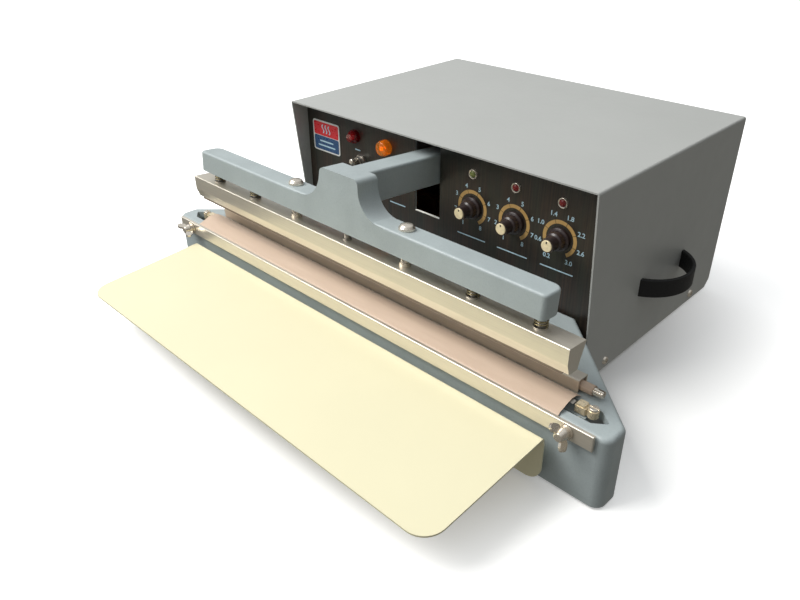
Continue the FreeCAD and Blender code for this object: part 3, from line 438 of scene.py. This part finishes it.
def tidy_normals(mesh):
    """Turn every face outwards."""
    bm = bmesh.new()
    bm.from_mesh(mesh)
    bmesh.ops.recalc_face_normals(bm, faces=bm.faces)
    bm.to_mesh(mesh)
    bm.free()


def joined(name, meshes):
    """One mesh from several."""
    bm = bmesh.new()
    for mesh in meshes:
        bm.from_mesh(mesh)
    result = bpy.data.meshes.new(name)
    bm.to_mesh(result)
    bm.free()
    for mesh in meshes:
        bpy.data.meshes.remove(mesh)
    return result


def plaque(name, outline, y_front, thick=PRINT_THICK):
    """A flat closed plate on the panel: (x, z) corners, its front at y_front."""
    count = len(outline)
    points = [(x, y_front, z) for x, z in outline] + [(x, y_front + thick, z) for x, z in outline]
    faces = [tuple(range(count)), tuple(reversed(range(count, 2 * count)))]
    for i in range(count):
        j = (i + 1) % count
        faces.append((i, count + i, count + j, j))
    mesh = faces_mesh(name, points, faces)
    tidy_normals(mesh)
    return mesh


def swept_sheet(name, profile, x0, x1, columns, thick, shift):
    """A cloth strip: a (y, z) profile swept along X, moved by shift(x, i), with a real thickness."""
    rows = len(profile)
    points = []
    for c in range(columns + 1):
        x = x0 + (x1 - x0) * c / columns
        for i, (y, z) in enumerate(profile):
            dx, dy, dz = shift(x, i)
            points.append((x + dx, y + dy, z + dz))
    faces = []
    for c in range(columns):
        for i in range(rows - 1):
            a = c * rows + i
            faces.append((a, a + rows, a + rows + 1, a + 1))
    mesh = faces_mesh(name, points, faces)
    bm = bmesh.new()
    bm.from_mesh(mesh)
    bmesh.ops.recalc_face_normals(bm, faces=bm.faces)
    bmesh.ops.solidify(bm, geom=bm.faces[:], thickness=thick)
    bmesh.ops.recalc_face_normals(bm, faces=bm.faces)
    bm.to_mesh(mesh)
    bm.free()
    return mesh


def smooth_path(corners, step):
    """Points along a polyline, its corners eased by averaging, about one step apart."""
    points = []
    for (y0, z0), (y1, z1) in zip(corners, corners[1:]):
        count = max(1, round(math.hypot(y1 - y0, z1 - z0) / step))
        points += [(y0 + (y1 - y0) * k / count, z0 + (z1 - z0) * k / count) for k in range(count)]
    points.append(corners[-1])
    for _ in range(3):
        inner = [tuple((a + 2 * b + c) / 4 for a, b, c in zip(*trio))
                 for trio in zip(points, points[1:], points[2:])]
        points = [points[0]] + inner + [points[-1]]
    return points


# ---- release fabric ---------------------------------------------------------------------------
def fabric_cover():
    """The sheet over the heated line: gripped in front, over the ridge and down to the channel."""
    low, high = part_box("ptfe_cover")
    crest = high.z - 0.2 * MM
    seal_y = centre("insulation_strip").y
    casting_top = 67.0 * MM
    front = low.y + 0.2 * MM
    slack_x = 0.23
    corners = [(front, low.z), (front, casting_top + 0.5 * MM),
               (seal_y - 6.5 * MM, crest - 1.0 * MM),
               (seal_y - 4.0 * MM, crest - 0.1 * MM), (seal_y + 4.0 * MM, crest - 0.1 * MM),
               (seal_y + 6.5 * MM, crest - 1.1 * MM), (high.y - 0.5 * MM, casting_top + 1.0 * MM)]
    profile = smooth_path(corners, 1.1 * MM)
    last = len(profile) - 1

    def shift(x, i):
        """Slack between the ridge and the grip: shallow ripples, none where it is held."""
        held = math.sin(math.pi * i / last) ** 2
        ripple = noise.noise(Vector((x * 26, i * 0.22, 3.7)))
        cross = noise.noise(Vector((x * 90, i * 0.5, 9.1)))
        lift = (0.22 * ripple + 0.07 * cross) * held * MM
        free = abs(profile[i][0] - seal_y) > 4.6 * MM
        wander = 0.0
        if abs(x) > slack_x:
            wander = 0.5 * MM * noise.noise(Vector((math.copysign(5, x), i * 0.3, 1.0)))
        return wander, 0.0, lift if free else 0.12 * lift

    mesh = swept_sheet("fabric_cover", profile, low.x, high.x, 260, 0.16 * MM, shift)
    cover = piece("fabric_cover", mesh, SLOTS["release_fabric"], "base", 60)
    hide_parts("ptfe_cover")


def fabric_roll():
    """The spare fabric, wound in a spiral round its rod."""
    low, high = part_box("ptfe_roll")
    middle = (low + high) / 2
    rod_low, rod_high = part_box("roll_rod")
    half_sheet = 0.1 * MM
    outer = (high.z - low.z) / 2 - half_sheet
    inner = (rod_high.z - rod_low.z) / 2 + half_sheet
    turns, steps = 4, 28
    count = turns * steps
    spiral = []
    for k in range(count + 1):
        radius = inner + (outer - inner) * k / count
        angle = 2 * math.pi * k / steps
        spiral.append((middle.y + radius * math.cos(angle), middle.z + radius * math.sin(angle)))

    def shift(x, i):
        """Turns that don't end quite flush."""
        end = 1.0 if abs(x - high.x) < 2 * MM else 0.0
        return -0.5 * MM * end * (0.5 + 0.5 * math.sin(i * 0.21)), 0.0, 0.0

    mesh = swept_sheet("fabric_roll_spiral", spiral, low.x, high.x, 24, 0.14 * MM, shift)
    roll = piece("fabric_roll_spiral", mesh, SLOTS["release_fabric"], "fabric_roll",
                 60)
    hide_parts("ptfe_roll")


# ---- panel graphics ---------------------------------------------------------------------------
def panel_face():
    """Y of the printed film's front."""
    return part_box("panel_overlay")[0].y


def numeral(text, x, z, y_front):
    """A number as a thin closed plate, centred on a point of the panel."""
    curve = bpy.data.curves.new("numeral", "FONT")
    curve.body = text
    curve.size = NUMERAL_SIZE
    curve.align_x = "CENTER"
    curve.align_y = "CENTER"
    curve.extrude = 0.03 * MM
    curve.offset = 0.1 * MM
    curve.resolution_u = 4
    holder = bpy.data.objects.new("numeral", curve)
    bpy.context.scene.collection.objects.link(holder)
    depsgraph = bpy.context.evaluated_depsgraph_get()
    mesh = bpy.data.meshes.new_from_object(holder.evaluated_get(depsgraph))
    bpy.data.objects.remove(holder)
    bpy.data.curves.remove(curve)
    mesh.transform(Matrix.Translation((x, y_front, z)) @ Matrix.Rotation(math.pi / 2, 4, "X"))
    bm = bmesh.new()
    bm.from_mesh(mesh)
    bmesh.ops.remove_doubles(bm, verts=bm.verts, dist=1e-7)
    bm.to_mesh(mesh)
    bm.free()
    return mesh


def arc_band(x, z, inner, outer, start, end, y_front):
    """Part of a ring on the panel, angles in degrees clockwise from the top."""
    count = max(2, round(abs(end - start) / 3))
    angles = [math.radians(start + (end - start) * k / count) for k in range(count + 1)]
    outline = [(x + outer * math.sin(a), z + outer * math.cos(a)) for a in angles]
    outline += [(x + inner * math.sin(a), z + inner * math.cos(a)) for a in reversed(angles)]
    return plaque("band", outline, y_front)


def dial(name, labels):
    """Gold ring in steps, a number at each step and a rule below."""
    spot = centre(f"{name}_knob")
    face = panel_face()
    step = DIAL_SWEEP / (len(labels) - 1)
    inner, outer = 13.6 * MM, 17.0 * MM
    gap = 0.9
    bands = []
    for k in range(len(labels) - 1):
        start = -DIAL_SWEEP / 2 + k * step
        bands.append(arc_band(spot.x, spot.z, inner, outer, start + gap, start + step - gap,
                              face - PRINT_PROUD))
    piece(f"{name}_dial_ring", joined("ring", bands), DIAL_GOLD, "base")
    numbers = []
    for k, label in enumerate(labels):
        angle = math.radians(-DIAL_SWEEP / 2 + k * step)
        radius = (21.0 if len(label) == 1 else 22.5) * MM
        numbers.append(numeral(label, spot.x + radius * math.sin(angle),
                               spot.z + radius * math.cos(angle), face - 0.05 * MM))
    piece(f"{name}_dial_numbers", joined("numbers", numbers), PRINT_PALE, "base")
    rule = bar_on_panel(spot.x, spot.z - 30 * MM, 34 * MM, 1.1 * MM, face)
    piece(f"{name}_dial_rule", rule, PRINT_PALE, "base")


def bar_on_panel(x, z, width, height, face, proud=PRINT_PROUD):
    """A printed rule with round ends, on the panel or the badge."""
    radius = height / 2
    reach = width / 2 - radius
    angles = [math.radians(-90 + 15 * k) for k in range(13)]
    outline = [(x + reach + radius * math.cos(a), z + radius * math.sin(a)) for a in angles]
    outline += [(x - reach - radius * math.cos(a), z - radius * math.sin(a)) for a in angles]
    return plaque("rule", outline, face - proud)


def lamp_marks():
    """A small printed rule under the red lamp and one below the second switch."""
    face = panel_face()
    red = centre("red_lamp")
    mark = bar_on_panel(red.x + 3 * MM, red.z - 14 * MM, 8 * MM, 1.2 * MM, face)
    piece("lamp_mark", mark, PRINT_PALE, "base")
    mode = centre("mode_toggle")
    mark = bar_on_panel(mode.x + 14 * MM, mode.z - 30 * MM, 22 * MM, 1.1 * MM, face)
    piece("switch_mark", mark, PRINT_PALE, "base")


def rounded_rect(x0, x1, z0, z1, radius):
    """Outline of a rectangle with round corners."""
    outline = []
    for cx, cz, start in ((x1 - radius, z1 - radius, 0), (x0 + radius, z1 - radius, 90),
                          (x0 + radius, z0 + radius, 180), (x1 - radius, z0 + radius, 270)):
        for k in range(5):
            angle = math.radians(start + 22.5 * k)
            outline.append((cx + radius * math.cos(angle), cz + radius * math.sin(angle)))
    return outline


def heat_wave(x, z, height, width, y_front):
    """One wavy upright stroke, the usual sign for heat."""
    count = 14
    left, right = [], []
    for k in range(count + 1):
        share = k / count
        bend = 0.14 * height * math.sin(2 * math.pi * share)
        left.append((x + bend - width / 2, z + height * (share - 0.5)))
        right.append((x + bend + width / 2, z + height * (share - 0.5)))
    return plaque("wave", left + right[::-1], y_front)


def badge():
    """Two plain fields on the badge plate, with a heat sign above and two rules below."""
    low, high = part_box("badge_plate")
    front = low.y
    inset, corner, parting, stroke = 1.6 * MM, 1.8 * MM, 0.6 * MM, 1.5 * MM
    middle = low.z + (high.z - low.z) * 0.52
    x0, x1 = low.x + inset, high.x - inset
    upper = rounded_rect(x0, x1, middle, high.z - inset, corner)
    lower = rounded_rect(x0, x1, low.z + inset, middle - parting, corner)
    for name, outline, ink in (("top", upper, BADGE_RED), ("bottom", lower, BADGE_BLUE)):
        piece(f"badge_{name}_field", plaque(name, outline, front - PRINT_PROUD), ink, "base")
    x = (x0 + x1) / 2
    z = (middle + high.z) / 2 - parting
    second_print = 2 * PRINT_PROUD
    waves = [heat_wave(x + k * 5 * MM, z, 9.5 * MM, stroke, front - second_print) for k in (-1, 0, 1)]
    piece("badge_heat_sign", joined("waves", waves), PRINT_PALE, "base")
    rules = [bar_on_panel(x, low.z + height * MM, width * MM, stroke, front, second_print)
             for height, width in ((11.5, 22), (6.6, 28))]
    piece("badge_rules", joined("rules", rules), PRINT_PALE, "base")


# ---- lamps, caps and small trim -------------------------------------------------------------------
def lamp_cores():
    """The bulb seen through each lens."""
    profile = [(r * MM, h * MM) for r, h in
               ((0, 0), (1.2, 0.1), (1.9, 1.0), (2.0, 2.4), (1.3, 3.6), (0, 4.0))]
    for name, slot, colour, glow in (("red_lamp", "lens_red", LAMP_RED, 0.2),
                                     ("amber_lamp", "lens_amber", LAMP_AMBER, 0.55)):
        spot = centre(name)
        base_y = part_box(name)[0].y + 6.5 * MM
        bulb = coloured_lens(f"{name}_bulb", colour, glow)
        mesh = turned("bulb", profile, (spot.x, base_y, spot.z), (0, -1, 0), 32)
        piece(f"{name}_core", mesh, bulb, "base")


def light_diodes():
    """Three diodes with a domed lens, the first green and the others red."""
    radius, back, rim, rise = 3.3 * MM, -9.5 * MM, 1.2 * MM, 1.9 * MM
    bends = [math.radians(angle) for angle in range(0, 90, 12)]
    dome = [(radius * math.cos(a), rim + rise * math.sin(a)) for a in bends]
    profile = [(0, back), (radius, back)] + dome + [(0, rim + rise)]
    z = centre("leds").z
    finishes = (LED_GREEN, SLOTS["led_lens"], SLOTS["led_lens"])
    for name, finish in zip(TIMERS, finishes):
        x = centre(f"{name}_knob").x
        mesh = turned("diode", profile, (x, panel_face(), z), (0, -1, 0), 40)
        diode = piece(f"{name}_led", mesh, finish, "base")
        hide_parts("leds")


def knob_marks():
    """The dark index notch printed on each cap."""
    for name in TIMERS:
        low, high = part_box(f"{name}_knob_cap")
        x = (low.x + high.x) / 2
        outline = rounded_rect(x - 0.6 * MM, x + 0.6 * MM, high.z - 3.0 * MM, high.z - 1.0 * MM, 0.4 * MM)
        notch = plaque("notch", outline, low.y - 0.06 * MM, 0.08 * MM)
        piece(f"{name}_cap_index", notch, PRINT_DARK, f"{name}_dial")


def slot_sill():
    """Near-white strip along the bottom of the arm slot: a painted highlight on the lit edge."""
    slot_left, slot_right, slot_bottom = -23.0 * MM, 9.5 * MM, 109.5 * MM
    outline = rounded_rect(slot_left + 0.1 * MM, slot_right - 0.1 * MM,
                           slot_bottom + 0.02 * MM, slot_bottom + 0.7 * MM, 0.3 * MM)
    mesh = plaque("sill", outline, panel_face() - 0.05 * MM, 1.9 * MM)
    piece("slot_sill", mesh, SLOT_EDGE_HIGHLIGHT, "base")


# ---- stage, light and camera ------------------------------------------------------------------------
def stage():
    """Pale studio floor that glows a little away from the machine."""
    reach = 30.0
    corners = [(x * reach, y * reach, 0) for x, y in ((-1, -1), (1, -1), (1, 1), (-1, 1))]
    mesh = faces_mesh("floor", corners, [(0, 1, 2, 3)])
    f = Finish("floor", (0.93, 0.93, 0.92, 1), 0.6, Emission_Color=(1, 1, 1, 1))
    f.mottle(2, 0.004)
    away = f.add("ShaderNodeVectorMath", operation="LENGTH")
    f.link(f.place, away, 0)
    glow_start, glow_full, glow = 0.18, 0.36, 0.5
    strength = f.ramp(away.outputs["Value"], 0.0, glow, glow_start, glow_full)
    f.link(strength, f.shader, "Emission Strength")
    mesh.materials.append(f.material)
    floor = bpy.data.objects.new("floor", mesh)
    floor.visible_diffuse = False
    floor.visible_glossy = False
    bpy.context.scene.collection.objects.link(floor)


def soft_light(name, at, aim, size, watts, tint):
    """A rectangular lamp at one point, turned to another."""
    data = bpy.data.lights.new(name, "AREA")
    data.shape = "RECTANGLE"
    data.size, data.size_y = size
    data.energy = watts
    data.color = tint
    lamp = bpy.data.objects.new(name, data)
    lamp.location = at
    lamp.rotation_mode = "QUATERNION"
    lamp.rotation_quaternion = (Vector(aim) - Vector(at)).to_track_quat("-Z", "Y")
    bpy.context.scene.collection.objects.link(lamp)


def lights():
    """A room that is bright above and to the left and dim below, and one broad key light."""
    brightest_way = (-0.35, -0.1, 0.93)
    room_ends = ((0.0, (0.19, 0.185, 0.17)), (0.75, (0.62, 0.64, 0.66)))
    world = bpy.data.worlds.new("room")
    bpy.context.scene.world = world
    world.use_nodes = True
    tree = world.node_tree
    place = tree.nodes.new("ShaderNodeTexCoord")
    along = tree.nodes.new("ShaderNodeVectorMath")
    along.operation = "DOT_PRODUCT"
    along.inputs[1].default_value = brightest_way
    tree.links.new(place.outputs["Generated"], along.inputs[0])
    ramp = tree.nodes.new("ShaderNodeValToRGB")
    for element, (spot, shade) in zip(ramp.color_ramp.elements, room_ends):
        element.position = spot
        element.color = (*shade, 1)
    tree.links.new(along.outputs["Value"], ramp.inputs["Fac"])
    tree.links.new(ramp.outputs["Color"], tree.nodes["Background"].inputs["Color"])
    soft_light("key", at=(-1.15, -1.15, 2.05), aim=(0, 0, 0.1), size=(1.9, 1.5), watts=72,
               tint=(1.0, 0.985, 0.955))


def camera():
    """Seen from the front right and above, as the photograph shows it."""
    place = (0.4441, -0.4935, 0.4078)
    azimuth, elevation, roll = 44.99, 30.80, -0.648
    data = bpy.data.cameras.new("camera")
    data.sensor_width = 36.0
    data.lens = 32.84
    data.clip_end = 50
    cam = bpy.data.objects.new("camera", data)
    turn = (Matrix.Rotation(math.radians(azimuth), 4, "Z")
            @ Matrix.Rotation(math.radians(90 - elevation), 4, "X")
            @ Matrix.Rotation(math.radians(roll), 4, "Z"))
    cam.matrix_world = Matrix.Translation(place) @ turn
    bpy.context.scene.collection.objects.link(cam)
    bpy.context.scene.camera = cam


def main():
    bpy.context.scene.view_settings.view_transform = "Standard"
    camera()
    dress_frame()
    fabric_cover()
    fabric_roll()
    dial("cycle", [str(n) for n in range(1, 9)])
    dial("cooling", [str(n) for n in range(1, 9)])
    dial("sealing", [f"{0.2 + 0.4 * k:.1f}" for k in range(8)])
    lamp_marks()
    badge()
    lamp_cores()
    light_diodes()
    knob_marks()
    slot_sill()
    stage()
    lights()


main()
